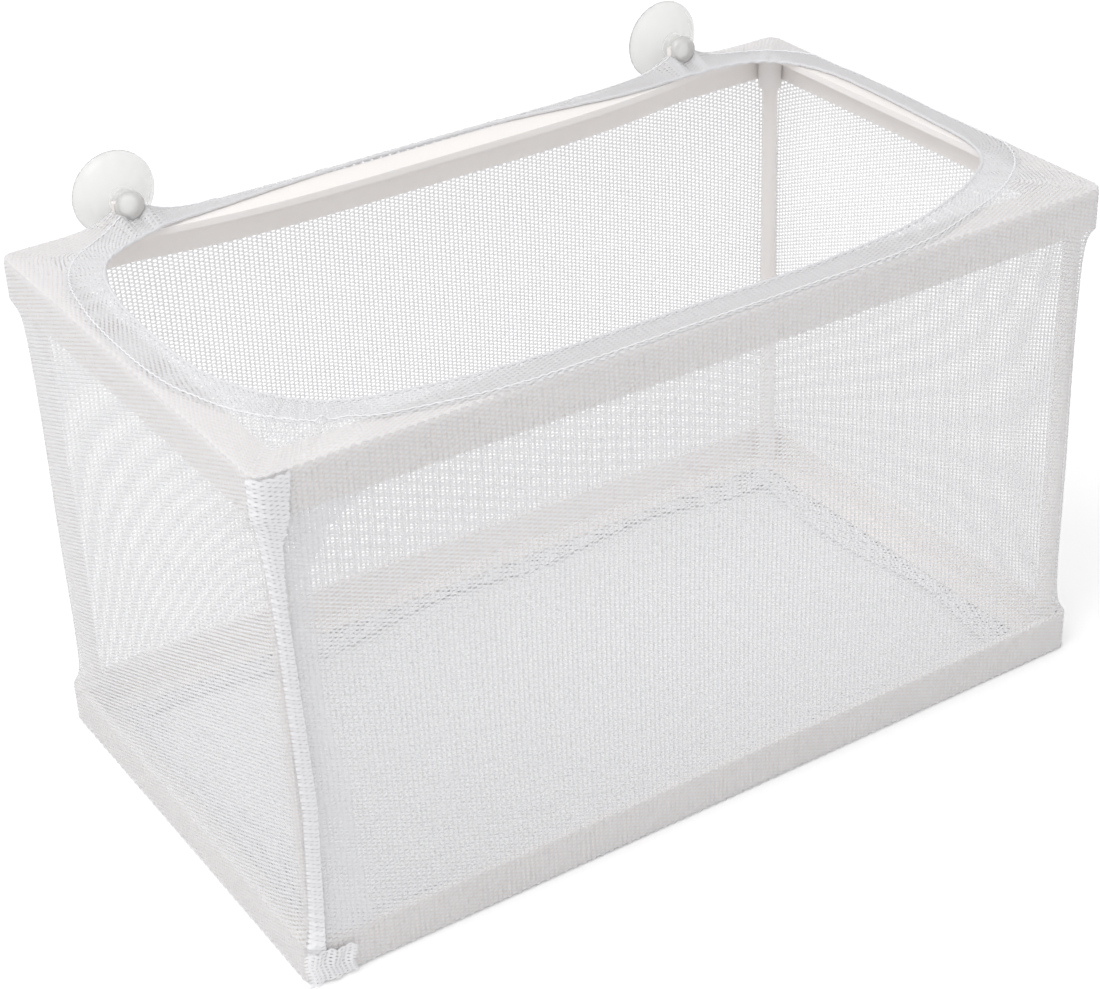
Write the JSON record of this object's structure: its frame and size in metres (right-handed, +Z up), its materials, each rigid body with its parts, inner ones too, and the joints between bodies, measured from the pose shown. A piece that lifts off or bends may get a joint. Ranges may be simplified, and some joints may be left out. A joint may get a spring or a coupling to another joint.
{
  "type": "fish breeding box",
  "caption": "Hang-on fish breeding box: fine net bag over a knock-down plastic frame, open top with elastic hem, clear suction cups at the back.",
  "frame": {"origin": "centre of the underside of the net floor, where the box rests on a flat surface", "axes": "+X along the long side, to the right when the suction cups are at the far side; +Y towards the suction cups and the aquarium glass; +Z up"},
  "size_m": [0.2648, 0.1592, 0.1715],
  "materials": {
    "frame_plastic": "satin moulded",
    "net": "fine warp-knit polyester net",
    "elastic": "braided",
    "clear_pvc": "clear soft PVC"
  },
  "bodies": {
    "box": {"top_frame": "frame_plastic", "bottom_frame": "frame_plastic", "post_front_left": "frame_plastic", "post_front_right": "frame_plastic", "post_back_left": "frame_plastic", "post_back_right": "frame_plastic", "net_front": "net", "net_back": "net", "net_left": "net", "net_right": "net", "net_floor": "net", "net_collar": "net", "floor_seam": "net", "side_seam": "net", "seam_tail": "net", "elastic_cord": "elastic", "hem_thread": "elastic"},
    "left_cup": {"suction_cup_left": "clear_pvc"},
    "right_cup": {"suction_cup_right": "clear_pvc"}
  },
  "joints": [
    {"name": "left_cup_swivel", "type": "hinge", "parent": "box", "child": "left_cup", "pos_m": [-0.094, 0.0745, 0.159], "axis": [0, 1, 0], "continuous": true},
    {"name": "right_cup_swivel", "type": "hinge", "parent": "box", "child": "right_cup", "pos_m": [0.094, 0.0745, 0.159], "axis": [0, 1, 0], "continuous": true}
  ]
}
